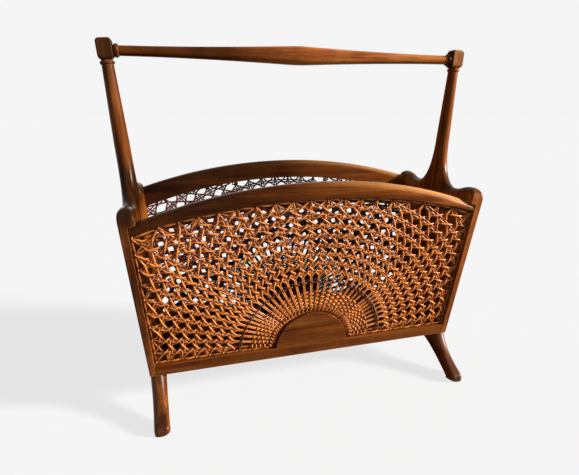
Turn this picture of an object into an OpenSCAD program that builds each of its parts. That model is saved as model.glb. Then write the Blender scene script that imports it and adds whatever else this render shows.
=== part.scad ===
// Newspaper rack with leaning caned sides, arched feet and a turned carrying handle.
// The rack stands on the XY plane. X runs along the handle, Y from the front panel to the back one.

/* [Overall frame] */
// Half the distance between the middles of the end boards, at floor level
end_half = 200; // [180:1:240]
// Outward lean of the end boards, in degrees
end_lean = 3.65; // [1:0.05:6]
// Half the distance between the outer faces of the caned sides, at floor level
side_half = 62; // [55:1:80]
// Outward lean of the caned sides, in degrees
side_lean = 7.55; // [4:0.05:10]

/* [End boards] */
// Thickness of the end boards and of the feet
board_t = 18; // [16:0.5:22]
// Height of the shoulders of the end boards
shoulder_z = 270; // [262:0.2:290]
// Radius of the rounded outer corner of a shoulder
shoulder_r = 12.5; // [6:0.5:18]
// Depth of the dip between a shoulder and the post
dip_d = 7; // [2:0.5:12]
// Distance of the dip from the middle of the board
dip_y = 45; // [38:1:60]
// Height where the neck of the board has become the round post
neck_z = 330; // [305:1:360]
// Length of the rounding that turns the square neck into the round post
neck_flare = 30; // [20:1:40]
// Width of the lip on the board's edge, at the foot of the panel
lip_low = 8; // [6:0.5:9]
// Width of the lip on the board's edge, at the shoulder
lip_high = 9; // [9:0.5:12]

/* [Posts and blocks] */
// Diameter of the post where it leaves the neck of the end board
post_base_d = 17.6; // [14:0.2:18]
// Diameter of the post just under its collar
post_top_d = 13.5; // [11:0.5:16]
// Diameter of the ring collar under the block
collar_d = 16.5; // [15:0.5:20]
// Height of the ring collar
collar_h = 4; // [2:0.5:6]
// Width of the chamfered block that holds the handle
block_w = 17; // [16:0.5:22]
// Height of the chamfered block
block_h = 26; // [22:1:32]
// Chamfer on the upper and lower edges of the block
block_chamfer = 3.5; // [1:0.5:6]

/* [Handle] */
// Height of the handle's axis above the floor
handle_z = 434.2; // [400:1:470]
// Diameter of the handle in the middle
handle_mid_d = 22.7; // [18:0.1:30]
// Diameter of the handle beside its beads
handle_end_d = 11.4; // [8:0.2:14]
// Diameter of the bead at each end
bead_d = 14.6; // [14:0.2:18]
// Length of the bead along the handle
bead_l = 6; // [3:0.5:8]
// Length of the narrow cove between bead and block
cove_l = 0.8; // [0.8:0.2:3]
// Diameter of the tenon in the block
tenon_d = 9; // [6:0.5:10]
// Length of the tenon in the block
tenon_l = 11; // [8:0.5:13]

/* [Rails] */
// Thickness of the top and bottom rails
rail_t = 18; // [14:0.5:20]
// Height of the crest of the front top rail, measured up the leaning side
crest_s = 290; // [284:0.5:305]
// Radius of the top edge of the front top rail
crest_r = 610; // [560:5:700]
// Radius of the lower edge of the front top rail's lip
under_r = 805; // [740:5:900]
// Height of the crest of the back top rail, measured up the leaning side
back_crest_s = 295; // [286:0.5:300]
// Radius of the top edge of the back top rail
back_crest_r = 705; // [640:5:760]
// Radius of the lower edge of the back top rail's lip
back_under_r = 660; // [620:5:740]
// Depth of a top rail's lip in the middle, from the crest down
top_lip_h = 18.5; // [14:0.5:24]
// Height of the bottom rail's lip
bottom_lip_h = 15; // [12:0.5:20]
// Radius of the half-round sun block on the bottom rail
sun_r = 49.5; // [40:0.5:60]
// Depth of the recess that holds the cane
ledge_d = 6; // [4:0.5:8]
// Width of the ledge that the cane is fixed to
ledge_w = 8; // [6:0.5:12]

/* [Feet] */
// Height of the feet
foot_h = 48.7; // [40:0.5:60]
// Distance of the front of a toe from the middle of the foot
toe_y = 121; // [110:1:140]
// Height of the blunt front of a toe
toe_h = 9; // [6:0.5:12]
// Length of the part of a toe that rests on the floor
sole_l = 17; // [12:0.5:24]
// Height of the arch between the toes
arch_h = 34; // [24:0.5:36]

/* [Bottom board] */
// Thickness of the bottom board
bottom_t = 8; // [5:0.5:9]
// Height of the bottom board above the lower edge of the rails
bottom_rise = 4.5; // [3:0.5:6]
// Depth of the grooves that hold the bottom board
groove_d = 4.5; // [3:0.5:5]

/* [Dowels] */
// Diameter of the dowels in the rail ends
rail_dowel_d = 4; // [3:0.5:5]
// Length of the dowels in the rail ends
rail_dowel_l = 22; // [16:1:26]
// Diameter of the dowels in the feet
foot_dowel_d = 6; // [4:0.5:6]
// Length of the dowels in the feet
foot_dowel_l = 24; // [18:1:26]
// Distance of a foot dowel from the middle of the foot
foot_dowel_y = 34; // [20:1:38]
// Clearance round dowels, tenons and housed ends
fit_gap = 0.1; // [0.05:0.05:0.3]

/* [Cane] */
// Number of cane rays on a side
ray_n = 30; // [20:1:34]
// Width of a cane ray
ray_w = 4; // [2.5:0.1:4.5]
// Thickness of one layer of cane
cane_t = 1; // [0.6:0.1:1.4]
// Width of a cane ring
ring_w = 2.6; // [1.6:0.1:4]
// Radius of the innermost ring of the open net
net_r = 109; // [104:0.5:116]
// Growth of the radius from one ring to the next
ring_ratio = 1.12; // [1.1:0.01:1.2]
// Inner radius of the close woven band
weave_in = 61; // [60:0.5:66]
// Outer radius of the close woven band
weave_out = 83; // [76:0.5:88]
// Thickness of the close woven band
weave_t = 1.6; // [1:0.1:2]
// Radius of the twisted ring
twine_r = 96; // [92:0.5:100]
// Width of the twisted ring
twine_w = 4; // [3:0.1:5]
// Thickness of the twisted ring
twine_t = 2; // [1.2:0.1:2.4]
// Width of the binder cane along the frame
binder_w = 3; // [2:0.1:4]
// Distance between the binder cane and the lip
binder_in = 1; // [0.5:0.1:2]
// Space between the strands' ends and the lip or the binder
strand_gap = 0.5; // [0.3:0.1:1]

/* [Hidden] */

// Points on each curved stretch of an outline
curve_n = 14;
// Turned bands along half the handle, and over a bead
swell_n = 9;
bead_n = 6;
// Segments of a full turn on small and on very large radii
turn_fn = 96;
arch_fn = 1440;
// Overrun of a cutting solid past the face that it cuts
over = 1;
// Reach of a cutting solid that only has to clear the whole rack
reach = 2 * (end_half + handle_z);

wood = [0.36, 0.19, 0.1];
pale_wood = [0.74, 0.56, 0.36];
cane = [0.74, 0.43, 0.16];

// Level heights and the heights up the leaning sides
foot_s = foot_h / cos(side_lean);
sun_s = foot_s + bottom_lip_h;
shoulder_s = shoulder_z / cos(side_lean);
bottom_z = foot_h + bottom_rise;

// Places along the posts, measured up the leaning end boards
neck_up = neck_z / cos(end_lean);
block_up = handle_z / cos(end_lean);
collar_up = block_up - block_h / 2 - collar_h;

// Half width of the rack between the outer panel faces, at a level height
function face_y(z) = side_half + z * tan(side_lean);

// Distance from the middle of a plane parallel to the end boards, at a level height
function end_x(z, out) = end_half + z * tan(end_lean) + out / cos(end_lean);

// Outer edge and lip of an end board, at a height up the leaning side
function edge_x(s) = end_x(s * cos(side_lean), board_t / 2);
lip_slope = (lip_high - lip_low) / (shoulder_s - foot_s);
function lip_x(s) = edge_x(s) - lip_low - lip_slope * (s - foot_s);

// Point on a cubic curve, and a row of such points
function cubic(p, t) =
    pow(1 - t, 3) * p[0] + 3 * t * pow(1 - t, 2) * p[1] + 3 * t * t * (1 - t) * p[2] + pow(t, 3) * p[3];
function curve(p) = [for (i = [0:curve_n]) cubic(p, i / curve_n)];

// Points of an arc between two angles
function arc(middle, r, from, to) =
    [for (i = [0:curve_n]) let (a = from + (to - from) * i / curve_n) middle + r * [cos(a), sin(a)]];

// Both halves of an outline that is symmetrical about the vertical line through the origin
function both_sides(half) =
    concat(half, [for (i = [len(half) - 1:-1:0]) [-half[i][0], half[i][1]]]);

// Puts a drawing of an end board into the leaning plane of the right end board
module in_end_plane() {
    translate([end_half, 0, 0])
        rotate([0, end_lean, 0])
            children();
}

// Extrudes an outline of Y and level height as a plank in the plane of the right end board
module end_plank(outline) {
    in_end_plane()
        rotate([90, 0, 90])
            linear_extrude(board_t, center = true)
                polygon([for (p = outline) [p[0], p[1] / cos(end_lean)]]);
}

// Puts a drawing of X and height up the side, with Z outwards, on the front side
module on_front() {
    translate([0, -side_half, 0])
        rotate([90 + side_lean, 0, 0])
            children();
}

// Draws a module on the front or on the back side
module on_side(side) {
    if (side == "front") on_front() children();
    else mirror([0, 1, 0]) on_front() children();
}

// Draws the right-hand piece, or its mirror image on the left
module at_end(end) {
    if (end == "right") children();
    else mirror([1, 0, 0]) children();
}

// Everything below a level height, and everything above it
module below(z) {
    translate([-reach / 2, -reach / 2, z - reach])
        cube(reach);
}

module above(z) {
    translate([-reach / 2, -reach / 2, z])
        cube(reach);
}

// Space between the lips of the two end boards, from one depth to another behind the face
module between_lips(low, high, back, front, gap) {
    translate([0, 0, back])
        linear_extrude(front - back)
            polygon([
                [-lip_x(low) + gap, low],
                [lip_x(low) - gap, low],
                [lip_x(high) - gap, high],
                [-lip_x(high) + gap, high]
            ]);
}

// Half disc round the middle of the sun, on the upper side of the bottom rail's lip
module half_disc(r, back, front) {
    translate([0, sun_s, back])
        rotate_extrude(angle = 180, $fn = turn_fn)
            square([r, front - back]);
}

// Upper and lower edge of the top rail on a side, each as the height of its middle and its radius
function crest(side) = side == "front" ? [crest_s, crest_r] : [back_crest_s, back_crest_r];
function under(side) = [crest(side)[0] - top_lip_h, side == "front" ? under_r : back_under_r];

// Cylinder below an arched edge that is raised by a distance, seen along the side's normal
module below_arch(edge, rise, back, front) {
    translate([0, edge[0] + rise - edge[1], back])
        cylinder(r = edge[1], h = front - back, $fn = arch_fn);
}

// Level slab that the bottom board is cut from, with room round it for the grooves
module bottom_slab(gap) {
    low = bottom_z - gap;
    high = bottom_z + bottom_t + gap;
    out = groove_d - board_t / 2 + gap;
    side = groove_d + gap - rail_t / cos(side_lean);
    intersection() {
        rotate([90, 0, 0])
            linear_extrude(reach, center = true)
                polygon([
                    [-end_x(low, out), low],
                    [end_x(low, out), low],
                    [end_x(high, out), high],
                    [-end_x(high, out), high]
                ]);
        rotate([90, 0, 90])
            linear_extrude(reach, center = true)
                polygon([
                    [-face_y(low) - side, low],
                    [face_y(low) + side, low],
                    [face_y(high) + side, high],
                    [-face_y(high) - side, high]
                ]);
    }
}

// Arched top rail of a side, before its dowel holes, with a full-round upper edge
module top_rail_body(side) {
    top = crest(side)[0];
    r = crest(side)[1];
    sweep = 2 * asin((lip_x(top) + rail_t) / r);
    depth = top_lip_h + ledge_w + rail_t;
    difference() {
        intersection() {
            translate([0, top - r, 0])
                rotate([0, 0, 90 - sweep / 2])
                    rotate_extrude(angle = sweep, $fn = arch_fn)
                        translate([r - rail_t / 2, -rail_t / 2])
                            union() {
                                circle(d = rail_t, $fn = turn_fn);
                                translate([-depth, -rail_t / 2])
                                    square([depth, rail_t]);
                            }
            between_lips(foot_s, top + rail_t, -rail_t - over, over, fit_gap);
        }
        below_arch(under(side), 0, -ledge_d, over);
        below_arch(under(side), -ledge_w, -rail_t - over, -ledge_d + over);
    }
}

// Room in an end board for the ends of both rails of a side and for the cane's recess between them
module side_housing(side) {
    back = -rail_t - fit_gap;
    intersection() {
        between_lips(foot_s - rail_t, crest(side)[0] + rail_t, back, rail_t, 0);
        union() {
            difference() {
                below_arch(crest(side), fit_gap, back - over, rail_t + over);
                below_arch(under(side), -ledge_w - fit_gap, back - 2 * over, rail_t + 2 * over);
            }
            below_arch(under(side), 0, -ledge_d, rail_t + over);
            translate([-reach / 2, sun_s + ledge_w + fit_gap - reach, back - over])
                cube(reach);
        }
    }
}

// Bottom rail and sun block of a side, before its level cut and its dowel holes
module bottom_rail_body() {
    difference() {
        between_lips(foot_s - rail_t, sun_s + ledge_w, -rail_t, 0, fit_gap);
        translate([-reach / 2, sun_s, -ledge_d])
            cube(reach);
    }
    half_disc(sun_r, -ledge_d, 0);
    half_disc(sun_r + ledge_w, -rail_t, -ledge_d);
}

// Heights of the rail dowels, and the middle of the housed part of a rail end there
bottom_dowel_s = sun_s + ledge_w / 2 - rail_dowel_d / 4;
function end_crest_s(side) =
    let (top = crest(side)[0], r = crest(side)[1])
    top - r + sqrt(pow(r, 2) - pow(lip_x(shoulder_s), 2));
function top_dowel_s(side) = end_crest_s(side) - rail_t / 2;
function dowel_x(s) = (lip_x(s) + edge_x(s) - board_t / cos(end_lean)) / 2;

// Dowels of the right ends of the two rails on a side
module end_dowels(side, gap) {
    for (s = [bottom_dowel_s, top_dowel_s(side)])
        translate([dowel_x(s), s, -rail_t - rail_dowel_l / 2 - gap])
            cylinder(d = rail_dowel_d + 2 * gap, h = rail_dowel_l + 2 * gap, $fn = turn_fn);
}

// Dowels of the right foot
module right_foot_dowels(gap) {
    in_end_plane()
        for (y = [-foot_dowel_y, foot_dowel_y])
            translate([0, y, foot_h / cos(end_lean) - foot_dowel_l / 2 - gap])
                cylinder(d = foot_dowel_d + 2 * gap, h = foot_dowel_l + 2 * gap, $fn = turn_fn);
}

// Right half of the outline of an end board, from its lower edge up to the post,
// with the shares of the neck's width and height that its curve is drawn by
sweep_share = [0.56, 0.7];
shoulder_y = face_y(shoulder_z - shoulder_r) - shoulder_r / cos(side_lean);
dip_z = shoulder_z - dip_d;
neck_y = board_t / 2;
function board_half() =
    let (
        hump = [shoulder_y, shoulder_z],
        dip = [dip_y, dip_z],
        slope = [(shoulder_y - dip_y) / 2, 0],
        neck = [neck_y, neck_z],
        sweep_in = [(dip_y - neck_y) * sweep_share[0], 0],
        sweep_up = [0, (neck_z - dip_z) * sweep_share[1]]
    )
    concat(
        [[face_y(foot_h - board_t), foot_h - board_t]],
        arc([shoulder_y, shoulder_z - shoulder_r], shoulder_r, -side_lean, 90),
        curve([hump, hump - slope, dip + slope, dip]),
        curve([dip, dip - sweep_in, neck - sweep_up, neck])
    );

// Round post with its collar, from inside the neck of the end board up into the block
module post() {
    root_up = neck_up - board_t;
    stub_r = post_top_d / 4;
    in_end_plane()
        rotate_extrude($fn = turn_fn)
            polygon([
                [0, root_up],
                [post_base_d / 2, root_up],
                [post_base_d / 2, neck_up],
                [post_top_d / 2, collar_up],
                [collar_d / 2, collar_up],
                [collar_d / 2, collar_up + collar_h],
                [stub_r, collar_up + collar_h],
                [stub_r, block_up],
                [0, block_up]
            ]);
}

// Waste outside the cone that rounds the corners off the neck just under the post
module neck_waste() {
    root_r = post_base_d / 2 + neck_flare / 4;
    waste_r = root_r + board_t;
    in_end_plane()
        rotate_extrude($fn = turn_fn)
            polygon([
                [post_base_d / 2, neck_up],
                [root_r, neck_up - neck_flare],
                [waste_r, neck_up - neck_flare],
                [waste_r, neck_up + over],
                [post_base_d / 2, neck_up + over]
            ]);
}

// Chamfered block on the post
module block() {
    w = block_w / 2;
    h = block_h / 2;
    c = block_chamfer;
    outline = both_sides([[w - c, -h], [w, c - h], [w, h - c], [w - c, h]]);
    in_end_plane()
        translate([0, 0, block_up])
            intersection() {
                rotate([90, 0, 0])
                    linear_extrude(block_w, center = true)
                        polygon(outline);
                rotate([90, 0, 90])
                    linear_extrude(block_w, center = true)
                        polygon(outline);
            }
}

// Inner face of a block at the height of the handle, where the handle's shoulder seats
seat_x = end_x(handle_z, -block_w / 2);

// Tenon of the right end of the handle
module tenon(gap) {
    translate([seat_x - bead_l, 0, handle_z])
        rotate([0, 90, 0])
            cylinder(d = tenon_d + 2 * gap, h = bead_l + tenon_l + gap, $fn = turn_fn);
}

// End board on the right, with its housings for the rails, the bottom board, the dowels and the handle
module end_board_solid() {
    difference() {
        union() {
            difference() {
                end_plank(both_sides(board_half()));
                neck_waste();
            }
            post();
            block();
        }
        for (side = ["front", "back"])
            on_side(side) {
                side_housing(side);
                end_dowels(side, fit_gap);
            }
        below(foot_h);
        bottom_slab(fit_gap);
        right_foot_dowels(fit_gap);
        tenon(fit_gap);
    }
}

module end_board(end) {
    color(wood)
        at_end(end)
            end_board_solid();
}

// Right half of the outline of a foot, from its upper edge round the toe to the arch,
// with the shares of each run that the curves of the instep and of the arch are drawn by
instep_pull = [[0.18, 0.37], [0.5, 0.72]];
arch_pull = [[0.69, 0.53], [0.46, 0.97]];
function share(run, pull) = [run[0] * pull[0], run[1] * pull[1]];
function foot_half() =
    let (
        top = [face_y(foot_h), foot_h],
        toe = [toe_y, toe_h],
        run = toe - top,
        heel = toe_y - sole_l,
        span = [heel, arch_h]
    )
    concat(
        [top + [0, board_t]],
        curve([top, top + share(run, instep_pull[0]), top + share(run, instep_pull[1]), toe]),
        [[toe_y, -board_t], [heel, -board_t]],
        curve([[heel, 0], share(span, arch_pull[0]), share(span, arch_pull[1]), [0, arch_h]])
    );

// Arched cross-foot under an end board, cut level on the floor and under the board
module foot(end) {
    color(wood)
        at_end(end)
            difference() {
                end_plank(both_sides(foot_half()));
                below(0);
                above(foot_h);
                right_foot_dowels(fit_gap);
            }
}

// Radius of the handle at a share of the way from its bead to its middle,
// with the rounding of its crown and the power of its swelling
crown_ease = 0.036;
swell_power = 1.82;
function swell(t) =
    1 - (sqrt(pow(1 - t, 2) + pow(crown_ease, 2)) - crown_ease) / (sqrt(1 + pow(crown_ease, 2)) - crown_ease);
function handle_r(t) = (handle_end_d + (handle_mid_d - handle_end_d) * pow(swell(t), swell_power)) / 2;

// Half profile of the handle as radius and distance from the middle
function handle_half() =
    let (
        bead_x = seat_x - cove_l - bead_l,
        neck_r = handle_end_d / 2,
        cove_r = (tenon_d + bead_d) / 4
    )
    concat(
        [for (i = [swell_n:-1:0]) [handle_r(i / swell_n), bead_x * (1 - i / swell_n)]],
        [
            for (i = [1:bead_n - 1])
                let (a = 180 * i / bead_n)
                [neck_r + (bead_d / 2 - neck_r) * sin(a), bead_x + bead_l * (1 - cos(a)) / 2]
        ],
        [[cove_r, seat_x - cove_l], [cove_r, seat_x + bead_d]]
    );

// Turned handle with a tenon at each end, its shoulders cut to lie flat on the leaning blocks
module handle_bar() {
    half = handle_half();
    low = handle_z - bead_d;
    high = handle_z + bead_d;
    color(wood) {
        intersection() {
            translate([0, 0, handle_z])
                rotate([0, 90, 0])
                    rotate_extrude($fn = turn_fn)
                        polygon(concat(
                            [[0, -seat_x - bead_d]],
                            [for (i = [len(half) - 1:-1:1]) [half[i][0], -half[i][1]]],
                            half,
                            [[0, seat_x + bead_d]]
                        ));
            rotate([90, 0, 0])
                linear_extrude(reach, center = true)
                    polygon([
                        [-end_x(low, -block_w / 2), low],
                        [end_x(low, -block_w / 2), low],
                        [end_x(high, -block_w / 2), high],
                        [-end_x(high, -block_w / 2), high]
                    ]);
        }
        tenon(0);
        mirror([1, 0, 0]) tenon(0);
    }
}

// Holes for the rail dowels, at both ends of the rails on a side
module rail_holes(side) {
    end_dowels(side, fit_gap);
    mirror([1, 0, 0]) end_dowels(side, fit_gap);
}

module top_rail(side) {
    color(wood)
        on_side(side)
            difference() {
                top_rail_body(side);
                rail_holes(side);
            }
}

module bottom_rail(side) {
    color(wood)
        difference() {
            on_side(side)
                difference() {
                    bottom_rail_body();
                    rail_holes(side);
                }
            below(foot_h);
            bottom_slab(fit_gap);
        }
}

module bottom_board() {
    color(wood)
        bottom_slab(0);
}

module rail_dowels() {
    color(pale_wood)
        for (side = ["front", "back"], end = ["right", "left"])
            at_end(end)
                on_side(side)
                    end_dowels(side, 0);
}

module foot_dowels() {
    color(pale_wood)
        for (end = ["right", "left"])
            at_end(end)
                right_foot_dowels(0);
}

// Space for a side's cane inside the lips, drawn in by a distance, between two depths
module cane_field(side, inset, back, front) {
    intersection() {
        between_lips(sun_s + inset, crest(side)[0], back, front, inset);
        below_arch(under(side), -inset, back, front);
    }
}

// Directions of the rays, and the distance along one from the sun's middle to the lip around it
ray_step = 180 / ray_n;
ray_angles = [for (i = [0:ray_n - 1]) (i + 0.5) * ray_step];
lip_lean = (lip_x(crest_s) - lip_x(sun_s)) / (crest_s - sun_s);
function ray_to_lip(a) = lip_x(sun_s) / (abs(cos(a)) - lip_lean * sin(a));
function ray_to_arch(side, a) =
    let (r = under(side)[1], rise = sun_s - under(side)[0] + r, m = rise * sin(a))
    sqrt(m * m + r * r - rise * rise) - m;
function is_side_ray(a) = abs(cos(a)) > lip_lean * sin(a);
function ray_to_frame(side, a) =
    is_side_ray(a) ? min(ray_to_lip(a), ray_to_arch(side, a)) : ray_to_arch(side, a);
function ray_end(side, a) = ray_to_frame(side, a) - ray_w / 2 - binder_in;

// Layers of cane, as depths behind the face of the side
ray_back = -ledge_d;
ring_back = ray_back + cane_t;

// Rays from the sun block out to the frame, lying on the ledges
module cane_rays(side) {
    start = sun_r + strand_gap;
    color(cane)
        on_side(side)
            translate([0, sun_s, ray_back])
                for (a = ray_angles)
                    rotate([0, 0, a])
                        translate([start, -ray_w / 2, 0])
                            cube([ray_end(side, a) - start, ray_w, cane_t]);
}

// Band of straight stretches from ray to ray, on top of the rays and inside the binder
module ray_to_ray(side, r_in, r_out, thick) {
    inset = binder_in + binder_w + strand_gap;
    intersection() {
        translate([0, sun_s, ring_back])
            linear_extrude(thick)
                polygon(concat(
                    [for (a = ray_angles) r_in * [cos(a), sin(a)]],
                    [for (i = [ray_n - 1:-1:0]) r_out * [cos(ray_angles[i]), sin(ray_angles[i])]]
                ));
        cane_field(side, inset, ring_back - over, ring_back + thick + over);
    }
}

// Radii of a side's rings, up to the farthest corner of its net
function corner_r(side) =
    norm([lip_x(crest_s), end_crest_s(side) - sun_s]) - ring_w - binder_w - binder_in;
function ring_count(side) = floor(ln(corner_r(side) / net_r) / ln(ring_ratio));
function ring_radii(side) = [for (i = [0:ring_count(side)]) net_r * pow(ring_ratio, i)];

module cane_rings(side) {
    color(cane)
        on_side(side)
            for (r = ring_radii(side))
                ray_to_ray(side, r - ring_w / 2, r + ring_w / 2, cane_t);
}

module sun_weave(side) {
    color(cane)
        on_side(side)
            ray_to_ray(side, weave_in, weave_out, weave_t);
}

module twined_ring(side) {
    color(cane)
        on_side(side)
            ray_to_ray(side, twine_r - twine_w / 2, twine_r + twine_w / 2, twine_t);
}

// Flat binder cane along the lips, over the ends of the rays
module cane_binder(side) {
    color(cane)
        on_side(side)
            difference() {
                cane_field(side, binder_in, ring_back, ring_back + cane_t);
                cane_field(side, binder_in + binder_w, ring_back - over, ring_back + cane_t + over);
                half_disc(sun_r + strand_gap, ring_back - over, ring_back + cane_t + over);
            }
}

end_board("left");  // left_end_board
end_board("right");  // right_end_board
foot("left");  // left_foot
foot("right");  // right_foot
handle_bar();
top_rail("front");  // front_top_rail
top_rail("back");  // back_top_rail
bottom_rail("front");  // front_bottom_rail
bottom_rail("back");  // back_bottom_rail
bottom_board();
rail_dowels();
foot_dowels();
cane_rays("front");  // front_cane_rays
cane_rings("front");  // front_cane_rings
sun_weave("front");  // front_sun_weave
twined_ring("front");  // front_twined_ring
cane_binder("front");  // front_cane_binder
cane_rays("back");  // back_cane_rays
cane_rings("back");  // back_cane_rings
sun_weave("back");  // back_sun_weave
twined_ring("back");  // back_twined_ring
cane_binder("back");  // back_cane_binder
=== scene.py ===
"""Newspaper rack: polished wood and woven cane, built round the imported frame."""
import math
import random

import bmesh
import bpy
import numpy as np
from mathutils import Matrix, Vector


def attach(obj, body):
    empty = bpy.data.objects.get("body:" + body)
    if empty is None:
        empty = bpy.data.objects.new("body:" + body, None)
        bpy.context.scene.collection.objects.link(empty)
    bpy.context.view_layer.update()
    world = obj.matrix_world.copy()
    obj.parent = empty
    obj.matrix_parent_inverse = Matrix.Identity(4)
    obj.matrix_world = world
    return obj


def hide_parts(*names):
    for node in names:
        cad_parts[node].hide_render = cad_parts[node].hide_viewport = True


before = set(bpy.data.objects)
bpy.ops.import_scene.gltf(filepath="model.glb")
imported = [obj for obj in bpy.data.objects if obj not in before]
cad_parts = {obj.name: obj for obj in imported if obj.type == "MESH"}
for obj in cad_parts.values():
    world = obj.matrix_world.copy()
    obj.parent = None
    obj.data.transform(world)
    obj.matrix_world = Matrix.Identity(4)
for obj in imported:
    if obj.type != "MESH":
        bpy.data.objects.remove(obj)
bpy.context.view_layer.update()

# Sizes, in millimetres and degrees
MM = 0.001
END_HALF = 200.0
END_LEAN = 3.65
SIDE_HALF = 62.0
SIDE_LEAN = 7.55
STOCK = 18.0
SHOULDER_Z = 270.0
SHOULDER_R = 12.5
DIP_D = 7.0
DIP_Y = 45.0
NECK_Z = 330.0
SWEEP_SHARE = (0.56, 0.7)
LIP_LOW = 8.0
LIP_HIGH = 9.0
POST_TOP_D = 13.5
COLLAR_D = 16.5
COLLAR_H = 4.0
COLLAR_LIFT = 1.7
BLOCK_W = 17.0
BLOCK_H = 26.0
BLOCK_CHAMFER = 3.5
CROWN_CHAMFER = 2.4
BLOCK_ROUND = 1.6
POST_NECK_IN = 0.4
POST_NECK_L = 4.0
HANDLE_Z = 434.2
HANDLE_MID_D = 22.7
HANDLE_END_D = 11.4
BEAD_D = 15.6
BEAD_L = 5.2
BEAD_START = 0.2
COVE_L = 0.8
COVE_SINK = 0.6
TENON_D = 9.0
TENON_L = 11.0
CROWN_EASE = 0.036
SWELL_POWER = 1.82
TOP_LIP_H = 18.5
BOTTOM_LIP_H = 15.0
SUN_R = 49.5
LEDGE_D = 6.0
LEDGE_W = 8.0
FOOT_H = 48.7
TOE_Y = 121.0
TOE_H = 9.0
SOLE_L = 17.0
ARCH_H = 34.0
INSTEP_PULL = ((0.18, 0.37), (0.5, 0.72))
ARCH_PULL = ((0.69, 0.53), (0.46, 0.97))
FIT_GAP = 0.1

# Cutters of the recesses: where they end inside the rack, and how far they stand out of its face
RECESS_END = 165.0
CUT_CLEAR = 12.0

# Rounding of the wood's edges
LIP_ROUND = 1.6
EDGE_ROUND = 8.9
INSTEP_ROUND = 8.2
ARCH_ROUND = 4.0
TOE_ROUND = 5.0
TOE_TIP_R = 7.0
TOE_TIP_DROP = 4.65
TOE_TIP_TURN = 66
TOE_EASE_Y = 85.0
TOE_EASE_L = 30.0
TOE_WORN_W = 7.5
TOE_WORN_L = 14.0
TOE_WORN_H = 3.0
ARRIS = 0.8
ARRIS_MID = 0.3 * ARRIS

COS_END, SIN_END = math.cos(math.radians(END_LEAN)), math.sin(math.radians(END_LEAN))
COS_SIDE, SIN_SIDE = math.cos(math.radians(SIDE_LEAN)), math.sin(math.radians(SIDE_LEAN))
TAN_END, TAN_SIDE = SIN_END / COS_END, SIN_SIDE / COS_SIDE
FOOT_S = FOOT_H / COS_SIDE
SUN_S = FOOT_S + BOTTOM_LIP_H
SHOULDER_S = SHOULDER_Z / COS_SIDE
NECK_UP = NECK_Z / COS_END
BLOCK_UP = HANDLE_Z / COS_END
COLLAR_UP = BLOCK_UP - BLOCK_H / 2 - COLLAR_H + COLLAR_LIFT
LIP_SLOPE = (LIP_HIGH - LIP_LOW) / (SHOULDER_S - FOOT_S)

FRONT, BACK = -1, 1
LEFT, RIGHT = -1, 1

# Height up the side of each top rail's crest, and the radii of its upper and lower edge
ARCHES = {FRONT: (290.0, 610.0, 805.0), BACK: (295.0, 705.0, 660.0)}


def face_y(z):
    """Half width between the outer panel faces at a level height."""
    return SIDE_HALF + z * TAN_SIDE


def end_x(z, out):
    """Distance from the middle of a plane beside the end boards at a level height."""
    return END_HALF + z * TAN_END + out / COS_END


def lip_x(s):
    """Inner edge of an end board's lip at a height up the side."""
    return end_x(s * COS_SIDE, STOCK / 2) - LIP_LOW - LIP_SLOPE * (s - FOOT_S)


def arch_s(x, top, radius):
    """Height up the side of an arched edge with its crest at top."""
    return top - radius + np.sqrt(radius * radius - np.square(x))


def crest(x, side):
    """Upper edge of a side's top rail."""
    top, radius, _ = ARCHES[side]
    return arch_s(x, top, radius)


def under(x, side):
    """Lower edge of a side's top rail."""
    top, _, radius = ARCHES[side]
    return arch_s(x, top - TOP_LIP_H, radius)


def lip_meets(edge, side, drop=0.0):
    """Place along the rack where the lip reaches an arched edge."""
    x = lip_x(SHOULDER_S)
    for _ in range(8):
        x = lip_x(edge(x, side) - drop)
    return x


def on_side(points, side):
    """Places of points given as x, height up the side and distance out of its face."""
    x, s, n = np.asarray(points, float).T
    out = SIDE_HALF + s * SIN_SIDE + n * COS_SIDE
    return np.column_stack([x, side * out, s * COS_SIDE - n * SIN_SIDE])


def on_end(points, end):
    """Places of points given as distance out of the board's middle, y and height up the board."""
    t, y, up = np.asarray(points, float).T
    out = END_HALF + t * COS_END + up * SIN_END
    return np.column_stack([end * out, y, up * COS_END - t * SIN_END])


# Curves and solids
def cubic(a, b, c, d, count):
    """Points along a cubic curve."""
    t = np.linspace(0, 1, count + 1)[:, None]
    a, b, c, d = (np.asarray(p, float) for p in (a, b, c, d))
    return (1 - t) ** 3 * a + 3 * t * (1 - t) ** 2 * b + 3 * t * t * (1 - t) * c + t ** 3 * d


def arc(middle, radius, start, end, count):
    """Points along an arc between two angles in degrees."""
    a = np.radians(np.linspace(start, end, count + 1))
    return np.column_stack([middle[0] + radius * np.cos(a), middle[1] + radius * np.sin(a)])


def both_halves(half):
    """A whole outline from its right half, drawn from the bottom up."""
    return np.vstack([half, half[::-1] * (-1, 1)])


def in_scene(name, data):
    """A new object in the scene."""
    obj = bpy.data.objects.new(name, data)
    bpy.context.scene.collection.objects.link(obj)
    return obj


def new_object(name, verts, faces, material):
    """An object from points in millimetres."""
    mesh = bpy.data.meshes.new(name)
    mesh.from_pydata((np.asarray(verts, float) * MM).tolist(), [], faces)
    if material:
        mesh.materials.append(material)
    return in_scene(name, mesh)


def edit(obj, change):
    """Runs a change on an object's closed mesh and turns all its faces outwards."""
    bm = bmesh.new()
    bm.from_mesh(obj.data)
    change(bm)
    bmesh.ops.recalc_face_normals(bm, faces=bm.faces[:])
    bm.to_mesh(obj.data)
    bm.free()


def solid(name, verts, faces, material=None):
    """A closed object with its faces turned outwards."""
    obj = new_object(name, verts, faces, material)
    edit(obj, lambda bm: None)
    return obj


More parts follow.
